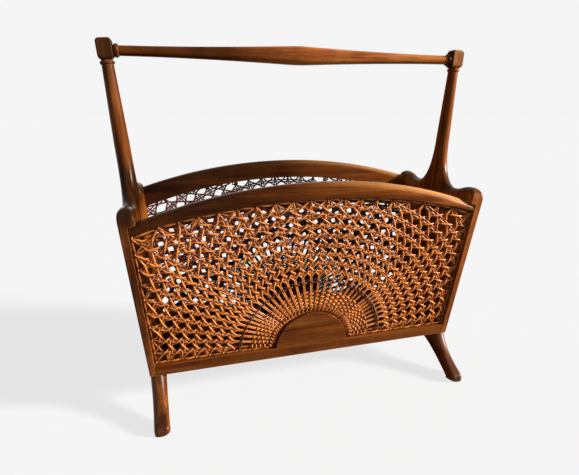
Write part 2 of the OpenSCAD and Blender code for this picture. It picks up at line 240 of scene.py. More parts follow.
def slice_off(obj, point, normal):
    """Cuts away what lies beyond a plane and closes the cut."""
    def change(bm):
        bmesh.ops.triangulate(bm, faces=[face for face in bm.faces if len(face.verts) > 4])
        parts = bm.verts[:] + bm.edges[:] + bm.faces[:]
        cut = bmesh.ops.bisect_plane(
            bm, geom=parts, plane_co=Vector(point) * MM, plane_no=Vector(normal), clear_outer=True)
        edges = [part for part in cut["geom_cut"] if isinstance(part, bmesh.types.BMEdge)]
        bmesh.ops.holes_fill(bm, edges=edges)
    edit(obj, change)


def carve(obj, cutter):
    """Takes the cutter's shape out of an object."""
    modifier = obj.modifiers.new("carve", "BOOLEAN")
    modifier.operation = "DIFFERENCE"
    modifier.solver = "EXACT"
    modifier.object = cutter
    graph = bpy.context.evaluated_depsgraph_get()
    made = bpy.data.meshes.new_from_object(obj.evaluated_get(graph))
    obj.modifiers.clear()
    obj.data = made
    bpy.data.objects.remove(cutter)


def shade(obj, angle=38):
    """Smooth shading that keeps the edges sharper than an angle."""
    mesh = obj.data
    mesh.polygons.foreach_set("use_smooth", [True] * len(mesh.polygons))
    mesh.set_sharp_from_angle(angle=math.radians(angle))
    modifier = obj.modifiers.new("even faces", "WEIGHTED_NORMAL")
    modifier.keep_sharp = True
    modifier.weight = 100


def finish_piece(obj, slot, *nodes):
    """Hangs a finished piece on the frame."""
    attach(obj, "root")
    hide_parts(*nodes)


def grid_faces(rows, count):
    """Quads of a tube of points, closed round each row, with a face on each end."""
    faces = []
    for row in range(rows - 1):
        low, high = row * count, (row + 1) * count
        for i in range(count):
            j = (i + 1) % count
            faces.append((low + i, low + j, high + j, high + i))
    faces.append(tuple(range(count))[::-1])
    faces.append(tuple(range((rows - 1) * count, rows * count)))
    return faces


def rounded_plank(outline, radius, half, steps=8):
    """Plank with rounded edges: points as depth and outline, for an outline drawn anticlockwise."""
    points = np.asarray(outline, float)
    ahead = np.roll(points, -1, 0) - points
    ahead /= np.linalg.norm(ahead, axis=1)[:, None]
    inside = np.column_stack([-ahead[:, 1], ahead[:, 0]])
    before = np.roll(inside, 1, 0)
    inward = (before + inside) / (1 + np.sum(before * inside, 1))[:, None]
    radius = np.broadcast_to(radius, len(points))
    quarter = [(1 - math.sin(a), 1 - math.cos(a)) for a in np.linspace(0, math.pi / 2, steps + 1)]
    rows = []
    for sign, order in ((1, quarter), (-1, quarter[::-1])):
        for inset, drop in order:
            place = points + inward * (radius * inset)[:, None]
            rows.append(np.column_stack([sign * (half - radius * drop), place]))
    return np.vstack(rows), grid_faces(len(rows), len(points))


def revolve(profile, turns=56):
    """Turned shape from pairs of radius and place along the axis: points as two across and one along."""
    angles = np.linspace(0, 2 * math.pi, turns, endpoint=False)
    circle = np.column_stack([np.cos(angles), np.sin(angles)])
    rows = [np.column_stack([r * circle, np.full(turns, at)]) for r, at in profile]
    return np.vstack(rows), grid_faces(len(rows), turns)


def prism(outline, back, front, side, end):
    """Cutting block over an outline on a side near one end, between two depths."""
    points = [(end * x, s, depth) for depth in (back, front) for x, s in outline]
    return solid("cutter", on_side(points, side), grid_faces(2, len(outline)))


# Materials: colours, and what a fade of a colour can follow
WOOD_DARK = (0.06, 0.013, 0.002)
WOOD_MID = (0.145, 0.036, 0.0048)
WOOD_LIGHT = (0.25, 0.074, 0.013)
WOOD_PORE = (0.022, 0.006, 0.002)
WOOD_WORN_AND_SHEEN = (0.55, 0.25, 0.08)
DOWEL_DARK = (0.5, 0.34, 0.18)
DOWEL_LIGHT = (0.74, 0.56, 0.36)
CANE_DARK = (0.09, 0.017, 0.003)
CANE_MID = (0.4, 0.099, 0.013)
CANE_LIGHT = (0.78, 0.262, 0.055)
ALONG_X, ALONG_Y, ALONG_Z, OUTWARD, UPWARD = range(5)


def strengths(value):
    """Strengths of the three colours, from one number for all of them or from three."""
    return value if isinstance(value, tuple) else (value,) * 3


class Nodes:
    """Short way to build the nodes of a material or of the surround."""

    def __init__(self, owner):
        self.owner = owner
        owner.use_nodes = True
        self.tree = owner.node_tree
        self.tree.nodes.clear()

    def add(self, kind, inputs=None, **settings):
        node = self.tree.nodes.new(kind)
        for key, value in settings.items():
            setattr(node, key, value)
        for key, value in (inputs or {}).items():
            if isinstance(value, bpy.types.NodeSocket):
                self.tree.links.new(value, node.inputs[key])
            else:
                node.inputs[key].default_value = value
        return node

    def place(self):
        return self.add("ShaderNodeTexCoord").outputs["Object"]

    def parts(self, vector):
        return self.add("ShaderNodeSeparateXYZ", {0: vector}).outputs

    def maths(self, operation, *values):
        return self.add("ShaderNodeMath", dict(enumerate(values)), operation=operation).outputs[0]

    def bump(self, height, strength, distance):
        return self.add("ShaderNodeBump", {
            "Height": height, "Strength": strength, "Distance": distance}).outputs["Normal"]

    def noise(self, vector, scale, detail, rough):
        return self.add("ShaderNodeTexNoise", {
            "Vector": vector, "Scale": scale, "Detail": detail, "Roughness": rough}).outputs["Fac"]

    def streaks(self, vector, axis, along, across, detail, rough):
        scale = [along if i == axis else across for i in range(3)]
        drawn_out = self.add("ShaderNodeMapping", {"Vector": vector, "Scale": scale}).outputs["Vector"]
        return self.noise(drawn_out, 1.0, detail, rough)

    def ramp(self, value, stops):
        node = self.add("ShaderNodeValToRGB", {"Fac": value})
        ends = node.color_ramp.elements
        while len(ends) < len(stops):
            ends.new(0.5)
        for element, (place, colour) in zip(ends, stops):
            element.position = place
            element.color = (*colour, 1)
        return node.outputs["Color"]

    def span(self, value, low, high, to_low=0.0, to_high=1.0):
        return self.add("ShaderNodeMapRange", {
            "Value": value, "From Min": low, "From Max": high, "To Min": to_low, "To Max": to_high,
        }).outputs["Result"]

    def mix(self, factor, a, b, blend="MIX"):
        a, b = ((*colour, 1) if isinstance(colour, tuple) else colour for colour in (a, b))
        return self.add("ShaderNodeMix", {0: factor, 6: a, 7: b}, data_type="RGBA",
                        blend_type=blend).outputs[2]

    def fade(self, colour, value, low, high, at_low, at_high):
        strength = self.mix(self.span(value, low, high), strengths(at_low), strengths(at_high))
        return self.mix(1.0, colour, strength, "MULTIPLY")

    def seen_directly(self):
        """One for rays from the camera and for those that it sends on by mirroring or through a surface."""
        rays = self.add("ShaderNodeLightPath").outputs
        seen = self.maths("MAXIMUM", rays["Is Camera Ray"], rays["Is Glossy Ray"])
        return self.maths("MAXIMUM", seen, rays["Is Transmission Ray"])

    def surface(self, **inputs):
        shader = self.add("ShaderNodeBsdfPrincipled", {k.replace("_", " "): v for k, v in inputs.items()})
        self.add("ShaderNodeOutputMaterial", {"Surface": shader.outputs[0]})
        return self.owner


def wood_grain(n, place, axis):
    """Colour of wood with its grain along an axis, and the relief of its grain and pores."""
    bands = n.streaks(place, axis, 3.5, 70, 2.5, 0.5)
    grain = n.streaks(place, axis, 22, 620, 4.0, 0.62)
    pores = n.streaks(place, axis, 60, 1900, 2.0, 0.6)
    base = n.ramp(bands, [(0.34, WOOD_DARK), (0.5, WOOD_MID), (0.68, WOOD_LIGHT)])
    streak = n.ramp(grain, [(0.36, (0.55, 0.5, 0.46)), (0.6, (1.15, 1.13, 1.1))])
    base = n.mix(0.85, base, streak, "MULTIPLY")
    base = n.mix(n.span(pores, 0.58, 0.72, 0.0, 0.6), base, WOOD_PORE)
    height = n.maths("ADD", grain, n.span(pores, 0.55, 0.75, 0.0, -0.6))
    return base, n.bump(height, 0.1, 0.0004)


# Painted sheen: upper faces paler towards the right, together with the rubbed wear of the crest
def crest_wear_and_sheen(n, x, upward, scuff, low, high, most):
    """Rubbed wear and painted sheen on the upper faces, growing to their most between two places along x.
    """
    rubbed_and_lit = n.maths("MULTIPLY", n.span(upward, 0.3, 0.8), n.span(x, low, high, 0.0, most))
    return n.maths("MULTIPLY", rubbed_and_lit, n.span(scuff, 0.3, 0.7, 0.6, 1.0))


def edge_wear(n, z, facing, scuff):
    """Wear of the edges, but for the level where a post runs on from its board."""
    smooth = n.add("ShaderNodeBevel", {"Radius": 0.0011}, samples=6).outputs["Normal"]
    turned = n.add("ShaderNodeVectorMath", {0: smooth, 1: facing}, operation="DOT_PRODUCT").outputs["Value"]
    worn = n.maths("MULTIPLY", n.span(turned, 0.985, 0.88), n.span(scuff, 0.35, 0.65, 0.1, 0.7))
    off_neck = n.maths("ABSOLUTE", n.maths("SUBTRACT", z, NECK_Z * MM))
    return n.maths("MULTIPLY", worn, n.span(off_neck, 0.002, 0.004))


def polished_wood(name, axis, fades=(), gloss=0.045, rough=(0.2, 0.34), crest_wear_sheen=None):
    """Dark red-brown polished wood with its grain along an axis, paler where edges are worn.

    Each fade holds what it follows, two values of that and the colour's strength at each; fades are used
    to paint light and shade into the colour. It follows a place in metres along an axis, or the turn of a
    face away from the rack's middle or upwards. The crest wear and sheen holds two places along x, between
    which the wear and painted sheen of upper faces grow, and its most. Faces turned to the middle are left
    dull.
    """
    n = Nodes(bpy.data.materials.new(name))
    place = n.place()
    base, relief = wood_grain(n, place, axis)
    blotch = n.noise(place, 16.0, 3.0, 0.55)
    base = n.mix(n.span(blotch, 0.45, 0.75, 0.0, 0.35), base, WOOD_LIGHT)
    x, y, z = n.parts(place)
    facing = n.add("ShaderNodeNewGeometry").outputs["Normal"]
    turned_x, _, upward = n.parts(facing)
    outward = n.maths("MULTIPLY", n.maths("SIGN", x), turned_x)
    scuff = n.noise(place, 190.0, 3.0, 0.7)
    if crest_wear_sheen:
        base = n.mix(crest_wear_and_sheen(n, x, upward, scuff, *crest_wear_sheen), base, WOOD_WORN_AND_SHEEN)
    for follows, *fade in fades:
        base = n.fade(base, (x, y, z, outward, upward)[follows], *fade)
    base = n.mix(edge_wear(n, z, facing, scuff), base, WOOD_WORN_AND_SHEEN)
    return n.surface(Base_Color=base, Roughness=n.span(blotch, 0.3, 0.7, *rough), Normal=relief,
                     Specular_IOR_Level=n.span(outward, -0.9, -0.5, 0.0, gloss))


def pale_dowel(name, axis):
    """Unfinished pale hardwood of the dowels."""
    n = Nodes(bpy.data.materials.new(name))
    grain = n.streaks(n.place(), axis, 30, 800, 3.0, 0.6)
    return n.surface(Base_Color=n.ramp(grain, [(0.3, DOWEL_DARK), (0.7, DOWEL_LIGHT)]),
                     Roughness=n.span(grain, 0.3, 0.7, 0.5, 0.65), Normal=n.bump(grain, 0.15, 0.0003))


def glossy_cane(name):
    """Amber cane with a hard shiny skin; each strand has its own tone, with painted light and shade in it.
    """
    n = Nodes(bpy.data.materials.new(name))
    place = n.place()
    tone = n.add("ShaderNodeAttribute", attribute_name="tone").outputs["Fac"]
    patch = n.noise(place, 75.0, 3.0, 0.6)
    fibre = n.noise(place, 900.0, 3.0, 0.6)
    value = n.maths("ADD", tone, n.span(patch, 0.25, 0.75, -0.35, 0.35))
    base = n.ramp(value, [(0.0, CANE_DARK), (0.45, CANE_MID), (1.0, CANE_LIGHT)])
    streak = n.ramp(fibre, [(0.3, (0.72, 0.66, 0.6)), (0.65, strengths(1.08))])
    base = n.mix(0.55, base, streak, "MULTIPLY")
    # Painted light: the cane darker to the left and paler to the right
    base = n.fade(base, n.parts(place)[0], -0.16, 0.16, 0.87, 1.04)
    return n.surface(Base_Color=base, Roughness=n.span(patch, 0.3, 0.7, 0.24, 0.38),
                     Normal=n.bump(fibre, 0.12, 0.0002), Specular_IOR_Level=0.2)


# Materials: the colour of each piece, darker or paler from part to part, much of it painted light and shade
END_GLOSS = 0.06
# How strongly the left board darkens across its shoulders
SHOULDER_DARKENING = 0.2

WOOD_X = polished_wood("wood_along", ALONG_X)
WOOD_INSIDE = polished_wood("wood_inside", ALONG_X, gloss=0.0)
# Painted light and shade: the top rails darker to the left and paler to the right, where the lamp is, the
# back rail darker, and painted sheen with the wear on the crest to the right
WOOD_RAIL = polished_wood("wood_top_rail", ALONG_X, [
    (ALONG_X, -0.16, 0.16, 0.32, 1.45),
    (ALONG_Y, -0.06, 0.06, 1.0, 0.6),
], crest_wear_sheen=(-0.04, 0.15, 0.8))
# Painted light: the handle's right half much paler, a painted sheen that eases off towards its end, and
# painted shade on its right-hand bead
WOOD_HANDLE = polished_wood("wood_handle", ALONG_X, [
    (ALONG_X, -0.09, 0.02, 0.85, (4.9, 6.2, 9.5)),
    (ALONG_X, 0.03, 0.15, 1.0, 0.6),
    (ALONG_X, 0.2115, 0.2135, 1.0, 0.25),
])
# Painted shade on the faces of the feet turned to the middle, and painted sheen making the faces turned
# outwards paler
WOOD_Y = polished_wood("wood_across", ALONG_Y, [
    (OUTWARD, -0.8, -0.3, 1.1, 0.66),
    (OUTWARD, 0.3, 0.8, 1.0, 1.6),
], gloss=0.16, rough=(0.28, 0.42))
WOOD_ENDS = {
    # The left board is darker across a band over its shoulders, and from its collar up
    LEFT: polished_wood("wood_left_end", ALONG_Z, [
        (ALONG_Z, 0.235, 0.262, 1.0, SHOULDER_DARKENING),
        (ALONG_Z, 0.295, 0.325, 1.0, 1 / SHOULDER_DARKENING),
        (ALONG_Z, 0.385, 0.412, 1.0, 0.45),
    ], END_GLOSS),
    # Painted light on the right board: faces turned to the middle and front paler, faces turned out to the
    # right, where the lamp is, darker. Its upper faces are darker
    RIGHT: polished_wood("wood_right_end", ALONG_Z, [
        (OUTWARD, 0.25, 0.75, 1.9, 0.7),
        (UPWARD, 0.15, 0.6, 1.0, 0.35),
    ], END_GLOSS),
}
WOOD_HEADS = {
    # The left head is darker all over
    LEFT: polished_wood("wood_left_head", ALONG_Z, [(ALONG_X, -1.0, 1.0, 0.24, 0.24)], END_GLOSS),
    # Right head: front face paler and greyer, partly scuffed and partly painted light; faces turned to the
    # middle darker, painted shade
    RIGHT: polished_wood("wood_right_head", ALONG_Z, [
        (OUTWARD, 0.25, 0.75, (1.9, 2.7, 5.6), 0.8),
        (OUTWARD, -0.75, -0.3, 0.3, 1.0),
    ], END_GLOSS),
}
DOWEL_Y = pale_dowel("dowel_across", ALONG_Y)
DOWEL_Z = pale_dowel("dowel_upright", ALONG_Z)
CANE = glossy_cane("cane")


# End boards
def board_outline():
    """Outline of an end board in y and level height, with the rounding of its edge at each point."""
    shoulder_y = face_y(SHOULDER_Z - SHOULDER_R) - SHOULDER_R / COS_SIDE
    dip_z = SHOULDER_Z - DIP_D
    slope = (shoulder_y - DIP_Y) / 2
    neck_y = STOCK / 2
    low = [(face_y(FOOT_H - STOCK), FOOT_H - STOCK)]
    corner = arc((shoulder_y, SHOULDER_Z - SHOULDER_R), SHOULDER_R, -SIDE_LEAN, 90, 14)
    over = cubic((shoulder_y, SHOULDER_Z), (shoulder_y - slope, SHOULDER_Z),
                 (DIP_Y + slope, dip_z), (DIP_Y, dip_z), 16)[1:]
    sweep = cubic((DIP_Y, dip_z), (DIP_Y - (DIP_Y - neck_y) * SWEEP_SHARE[0], dip_z),
                  (neck_y, NECK_Z - (NECK_Z - dip_z) * SWEEP_SHARE[1]), (neck_y, NECK_Z), 32)[1:]
    top = [(neck_y, NECK_Z + STOCK)]
    half = np.vstack([low, corner, over, sweep, top])
    growing = np.linspace(LIP_ROUND, EDGE_ROUND, len(corner))
    radius = np.concatenate([[LIP_ROUND], growing, np.full(len(over) + len(sweep) + 1, EDGE_ROUND)])
    return both_halves(half), np.concatenate([radius, radius[::-1]])


def end_recesses(side, end):
    """Cutters for the cane's ledge and for the ends of both rails, on one side of an end board."""
    inner, low, back = RECESS_END, FOOT_S - STOCK, -STOCK - FIT_GAP
    ledge_x = np.linspace(lip_meets(under, side), inner, 12)
    ledge = [(inner, low), (lip_x(low), low), *zip(ledge_x, under(ledge_x, side))]
    yield prism(ledge, -LEDGE_D, CUT_CLEAR, side, end)
    top_x = np.linspace(lip_meets(crest, side, -FIT_GAP), inner, 12)
    drop = LEDGE_W + FIT_GAP
    floor_x = np.linspace(inner, lip_meets(under, side, drop), 12)
    housing = [*zip(floor_x, under(floor_x, side) - drop), *zip(top_x, crest(top_x, side) + FIT_GAP)]
    yield prism(housing, back, CUT_CLEAR, side, end)
    high = SUN_S + LEDGE_W + FIT_GAP
    housing = [(inner, low), (lip_x(low), low), (lip_x(high), high), (inner, high)]
    yield prism(housing, back, CUT_CLEAR, side, end)


def end_board(name, end):
    """Leaning end board with full-round upper edges, lips and housings."""
    outline, radius = board_outline()
    outline = outline / (1, COS_END)
    points, faces = rounded_plank(outline, radius, STOCK / 2, 9)
    board = solid(name, on_end(points, end), faces, WOOD_ENDS[end])
    slice_off(board, (0, 0, FOOT_H), (0, 0, -1))
    along = on_end([(0, 0, NECK_UP), (0, 0, NECK_UP + 1)], end)
    slice_off(board, along[0], along[1] - along[0])
    for side in (FRONT, BACK):
        for cutter in end_recesses(side, end):
            carve(board, cutter)
    shade(board)
    return board


def post(name, end):
    """Round post with its ring collar, turned up to the block."""
    taper, rise = (POST_TOP_D - STOCK) / 2, COLLAR_UP - NECK_UP
    shaft = [(STOCK / 2 + taper * t, NECK_UP + rise * t) for t in np.linspace(0, 1, 13)]
    collar = []
    for a in np.linspace(0, math.pi, 13):
        radius = COLLAR_D / 2 - COLLAR_H / 3 * (1 - math.sin(a))
        collar.append((radius, COLLAR_UP + COLLAR_H / 2 * (1 - math.cos(a))))
    neck = [(POST_TOP_D / 2 - POST_NECK_IN, COLLAR_UP + COLLAR_H + up) for up in (0, POST_NECK_L)]
    points, faces = revolve(shaft + collar + neck)
    made = solid(name, on_end(points, end), faces, WOOD_ENDS[end])
    shade(made)
    return made


def head_block(name, end):
    """Chamfered block on the post, with softened corners."""
    wide, high = BLOCK_W / 2, BLOCK_H / 2
    low = COLLAR_LIFT - high
    levels = [(wide - BLOCK_CHAMFER, low), (wide, low + BLOCK_CHAMFER),
              (wide, high - CROWN_CHAMFER), (wide - CROWN_CHAMFER, high)]
    corners = ((1, 1), (-1, 1), (-1, -1), (1, -1))
    points = [(w * a, w * b, BLOCK_UP + up) for w, up in levels for a, b in corners]
    made = new_object(name, on_end(points, end), grid_faces(len(levels), 4), WOOD_HEADS[end])
    edit(made, lambda bm: bmesh.ops.bevel(
        bm, geom=bm.edges[:], offset=BLOCK_ROUND * MM, segments=4, profile=0.5, affect="EDGES"))
    shade(made, 60)
    return made


# Feet
def foot_outline():
    """Outline of a foot in y and level height, with the rounding of its edge at each point."""
    top = np.array((face_y(FOOT_H), FOOT_H))
    toe = np.array((TOE_Y, TOE_H))
    run, heel = toe - top, TOE_Y - SOLE_L
    span = np.array((heel, ARCH_H))
    instep = cubic(top, top + run * INSTEP_PULL[0], top + run * INSTEP_PULL[1], toe, 24)
    toe_tip = arc((TOE_Y - TOE_TIP_R, TOE_H - TOE_TIP_DROP), TOE_TIP_R, TOE_TIP_TURN, 0, 8)
    instep = instep[instep[:, 0] < toe_tip[0, 0] - 0.5]
    arch = cubic((heel, 0), span * ARCH_PULL[0], span * ARCH_PULL[1], (0, ARCH_H), 28)
    sole = [(TOE_Y, -STOCK), (heel, -STOCK)]
    half = np.vstack([[top + (0, STOCK)], instep, toe_tip, sole, arch[:-1]])[::-1]
    near_toe = np.clip((instep[:, 0] - TOE_EASE_Y) / TOE_EASE_L, 0, 1)
    radius = np.concatenate([
        [INSTEP_ROUND],
        INSTEP_ROUND + (TOE_ROUND - INSTEP_ROUND) * near_toe,
        np.full(len(toe_tip) + len(sole), TOE_ROUND),
        np.linspace(TOE_ROUND, ARCH_ROUND, len(arch) - 1),
    ])[::-1]
    middle = [(0, ARCH_H)]
    return np.vstack([middle, both_halves(half)]), np.concatenate([[ARCH_ROUND], radius, radius[::-1]])


def wear_toe(made, end, side):
    """Takes the worn inner corner off a toe."""
    inner = -STOCK / 2
    places = [(inner + TOE_WORN_W, TOE_Y, 0), (inner, TOE_Y - TOE_WORN_L, 0), (inner, TOE_Y, TOE_WORN_H)]
    across, back, up = (Vector((end * end_x(z, out), side * y, z)) for out, y, z in places)
    normal = (back - across).cross(up - across)
    corner = Vector((end * end_x(0, inner), side * TOE_Y, 0))
    slice_off(made, across, normal if normal.dot(corner - across) > 0 else -normal)


def foot(name, end):
    """Arched cross-foot with rounded toes, cut level on the floor and under the board."""
    outline, radius = foot_outline()
    points, faces = rounded_plank(outline / (1, COS_END), radius, STOCK / 2)
    made = solid(name, on_end(points, end), faces, WOOD_Y)
    slice_off(made, (0, 0, 0), (0, 0, -1))
    slice_off(made, (0, 0, FOOT_H), (0, 0, 1))
    for side in (FRONT, BACK):
        wear_toe(made, end, side)
    shade(made)
    return made


# Rails and handle
def rail_section(x, side):
    """Section of a side's top rail at a place along it, as depth and height up the side."""
    top, lip = crest(x, side), under(x, side)
    ledge, half = lip - LEDGE_W, STOCK / 2
    rise_back = half / math.sqrt(1 - (x / ARCHES[side][1]) ** 2)
    rise_front = min(rise_back, top - lip - 1.5 * ARRIS)
    section = []
    for a in np.linspace(0, math.pi, 25):
        rise = rise_front if a < math.pi / 2 else rise_back
        section.append((half * (math.cos(a) - 1), top - rise * (1 - math.sin(a))))
    back, step, r, mid = -STOCK, -LEDGE_D, ARRIS, ARRIS_MID
    section += [(back, ledge + r), (back + mid, ledge + mid), (back + r, ledge)]
    section += [(step - r, ledge), (step - mid, ledge + mid), (step, ledge + r)]
    section += [(step, lip), (-r, lip), (-mid, lip + mid), (0, lip + r)]
    return np.array(section)


def top_rail(name, side):
    """Arched top rail with a full-round upper edge and a ledge for the cane."""
    rows = []
    reach = lip_meets(crest, side)
    for share in np.linspace(-1, 1, 91):
        section = rail_section(share * reach, side)
        x = share * (lip_x(section[:, 1]) - FIT_GAP)
        rows.append(np.column_stack([x, section[:, 1], section[:, 0]]))
    made = solid(name, on_side(np.vstack(rows), side), grid_faces(len(rows), len(rows[0])), WOOD_RAIL)
    shade(made)
    return made


def rail_slab(lip_s, sun_r, back, front, radius, steps):
    """Straight rail and half disc between two depths."""
    low = FOOT_S - STOCK
    half = [(lip_x(low) - FIT_GAP, low), (lip_x(lip_s) - FIT_GAP, lip_s)]
    start = math.degrees(math.asin((lip_s - SUN_S) / sun_r))
    outline = both_halves(np.vstack([half, arc((0, SUN_S), sun_r, start, 90, 40)[:-1]]))
    points, faces = rounded_plank(outline, radius, (front - back) / 2, steps)
    points[:, 0] += (front + back) / 2
    return points[:, (1, 2, 0)], faces


def bottom_rail(name, side):
    """Bottom rail with the half-round sun block, in one plank, with a ledge for the cane."""
    face, face_quads = rail_slab(SUN_S, SUN_R, -LEDGE_D, 0, ARRIS, 4)
    ledge, ledge_quads = rail_slab(SUN_S + LEDGE_W, SUN_R + LEDGE_W, -STOCK, -LEDGE_D, 0.5 * ARRIS, 2)
    points = np.vstack([face, ledge])
    faces = face_quads + [tuple(i + len(face) for i in quad) for quad in ledge_quads]
    made = solid(name, on_side(points, side), faces, WOOD_X)
    slice_off(made, (0, 0, FOOT_H), (0, 0, -1))
    shade(made)
    return made


def handle_radius(share):
    """Radius of the handle at a share of the way from its bead to its middle."""
    ease = CROWN_EASE
    swell = 1 - (math.hypot(1 - share, ease) - ease) / (math.hypot(1, ease) - ease)
    return (HANDLE_END_D + (HANDLE_MID_D - HANDLE_END_D) * swell ** SWELL_POWER) / 2


def handle(name):
    """Turned handle, swollen in the middle, with a bead, a cove and a tenon at each end."""
    seat = end_x(HANDLE_Z, -BLOCK_W / 2)
    bead = seat - COVE_L - BEAD_L
    neck = HANDLE_END_D / 2
    cove = (TENON_D + BEAD_D) / 4
    half = [(handle_radius(1 - t), bead * t) for t in np.linspace(0, 1, 61)]
    for a in np.linspace(BEAD_START, math.pi - BEAD_START, 13):
        radius = neck + (BEAD_D / 2 - neck) * math.sin(a)
        half.append((radius, bead + BEAD_L * (1 - math.cos(a)) / 2))
    half += [(cove, seat - COVE_L), (cove, seat + COVE_SINK)]
    half += [(TENON_D / 2, seat + COVE_SINK), (TENON_D / 2, seat + TENON_L)]
    profile = [(r, -at) for r, at in half[:0:-1]] + half
    points, faces = revolve(profile)
    points = points[:, (2, 0, 1)] + (0, 0, HANDLE_Z)
    made = solid(name, points, faces, WOOD_HANDLE)
    shade(made, 50)
    return made


# Cane: where the strands run
HOLE_IN = 2.3
TOP_HOLE_STEP = 21.7
TOP_HOLES = 9
SIDE_HOLE_STEP = 19.5
SIDE_HOLE_LOW = 81.0
SIDE_HOLES = 9
BOTTOM_HOLE_STEP = 17.2
BOTTOM_HOLE_FAR = 188.6
BOTTOM_HOLES = 8
NET_N = -4.0
RING_SIDE = (112.5, 13.3, 0.25)
RING_TOP = (109.5, 11.7, 0.15)
RING_COUNT = 13
RAY_SPREAD = 0.093
RING_SPREAD = 0.1
HOLE_REACH = 8.0
SPOKE_END = 106.0
SUN_STEPS = (0.6, 1.6, 4.0)
HOLE_STEP = 0.6
BAND_DROP = 1.5
WOBBLE = 0.22

# Cane: where a pair of rays opens out past the woven bands, and how it closes up at its hole
OPEN_FROM, OPEN_OVER = 100.0, 16.0
CLOSE_OVER, CLOSE_SHARE = 18.0, 0.22

# Cane: sizes of the strands
RAY_W, DIAGONAL_W = 2.05, 2.3
RAY_T, DIAGONAL_T = 1.5, 1.7
BACK_EXTRA, BACK_FINE = 1.1, (17.0, 36.0)
BAND_SPREAD, BAND_THIN = 0.7, 0.7
SPOKE_W, SPOKE_IN = 1.6, 0.85
BINDER_W, BINDER_T, BINDER_SWAY = 2.9, 1.2, 0.55
BINDER_RISE, BINDER_TAPER = (2.3, 2.8), 0.55
KNOT_W, KNOT_T = 1.7, 0.9
KNOT_STEPS = ((-1.9, -1.8), (-1.4, 0.0), (0, 0.85), (1.4, 0.0), (1.9, -1.8))
WEAVE_IN, WEAVE_ROWS, WEAVE_PITCH = 62.6, 8, 2.8
WEAVE_W, WEAVE_T, WEAVE_SWAY = 2.3, 1.5, 0.25

# Cane: radius, sway, width, thickness and tone of the rings outside the weave and round the sun block
OUTER_TWINE = (98.0, 1.9, 2.4, 1.4, -0.75)
INNER_TWINE = (56.8, -2.6, 2.3, 1.6, -0.32)

# Cane: heights in the weave, and how flat the rise and fall of a strand is
TUCKED, IN_HOLE = -2.0, -2.2
PAIR_RISE, BAND_LOW, SPOKE_RISE = 0.5, -0.45, 0.35
DIAGONAL_FLAT, WEAVE_FLAT, TWINE_FLAT = 1.5, 1.15, 1.25
WEAVE_RISE, TWINE_RISE = 1.3, 1.5

# Cane: section and tones of the strands, with painted shade lower in the weave and on the undersides
SECTION = 8
TONE_SPREAD, SHADE_BY_HEIGHT, TONE_LEVEL = 0.16, 0.42, 0.2
UNDERSIDE_SHADE = 0.6
# The diagonal strands get a paler tone, painted light for lying on top of the weave
RAY_TONE, DIAGONAL_TONE, WEAVE_TONE = 0.37, 0.55, 0.24
BINDER_TONE, SIDE_BINDER_SHADE, KNOT_TONE = 0.4, 0.28, 0.5


def ring_radius(v, angle):
    """Radius of a place between the rings, counted from the innermost one."""
    up = np.sin(angle) ** 2
    side, top = (a + b * v + c * v * v for a, b, c in (RING_SIDE, RING_TOP))
    return side + (top - side) * up


def polar(radius, angle):
    """Place on a side at a distance and direction from the middle of the sun."""
    return np.column_stack([radius * np.cos(angle), SUN_S + radius * np.sin(angle)])


def eased(at, keys, heights):
    """Smooth rise and fall between heights at given places."""
    keys, heights = np.asarray(keys), np.asarray(heights)
    i = np.clip(np.searchsorted(keys, at) - 1, 0, len(keys) - 2)
    t = np.clip((at - keys[i]) / (keys[i + 1] - keys[i]), 0, 1)
    return heights[i] + (heights[i + 1] - heights[i]) * (1 - np.cos(math.pi * t)) / 2


def over_and_under(at, start, level, crossings, first_over):
    """Height of a strand that starts level and then goes over one strand of each pair and under the other.

    A crossing holds the places of the two strands of a pair and of the gap after them.
    """
    rise = PAIR_RISE if first_over else -PAIR_RISE
    keys, heights = list(start), [level] * len(start)
    for crossing in crossings:
        keys += crossing
        heights += (rise, -rise, 0.0)
    return eased(at, keys, heights)


def from_sun(stop, step):
    """Distances along a strand that comes up out of the edge of the sun block."""
    first, second, third = SUN_STEPS
    return np.concatenate([[SUN_R + first, SUN_R + second], np.arange(SUN_R + third, stop, step)])


class Strands:
    """Strands of cane that are gathered into one piece."""

    def __init__(self, chance):
        self.points, self.faces, self.tones, self.count, self.chance = [], [], [], 0, chance

    def add(self, path, width, thick, tone):
        """Adds a strand of oval section along a path of x, height up the side and height in the weave."""
        path = np.asarray(path, float)
        width = np.broadcast_to(width, len(path))[:, None]
        ahead = np.gradient(path, axis=0)
        across = np.column_stack([-ahead[:, 1], ahead[:, 0], np.zeros(len(path))])
        across /= np.linalg.norm(across, axis=1)[:, None]
        ahead /= np.linalg.norm(ahead, axis=1)[:, None]
        rise = np.cross(ahead, across)
        turn = np.linspace(0, 2 * math.pi, SECTION, endpoint=False)
        rings = (path[:, None] + across[:, None] * (width / 2 * np.cos(turn))[..., None]
                 + rise[:, None] * (thick / 2 * np.sin(turn))[:, None])
        around = np.array(grid_faces(2, SECTION)[:SECTION])
        quads = (around[None] + np.arange(len(path) - 1)[:, None, None] * SECTION).reshape(-1, 4)
        self.faces.append(quads + self.count)
        self.points.append(rings.reshape(-1, 3))
        own = tone + self.chance.uniform(-TONE_SPREAD, TONE_SPREAD)
        # Painted shade: each strand darker lower in the weave and on its underside
        inner = UNDERSIDE_SHADE * np.clip(-np.sin(turn), 0, 1)
        self.tones.append((own + SHADE_BY_HEIGHT * (rings[..., 2] - TONE_LEVEL) - inner).ravel())
        self.count += len(path) * SECTION

    def piece(self, name, side, *nodes):
        """Makes the piece on one side."""
        points = np.vstack(self.points) + (0, 0, NET_N)
        quads = np.vstack(self.faces)
        if side == BACK:
            quads = quads[:, ::-1]
        made = new_object(name, on_side(points, side), quads.tolist(), CANE)
        mesh = made.data
        mesh.polygons.foreach_set("use_smooth", [True] * len(mesh.polygons))
        mesh.attributes.new("tone", "FLOAT", "POINT").data.foreach_set("value", np.concatenate(self.tones))
        finish_piece(made, "cane", *nodes)


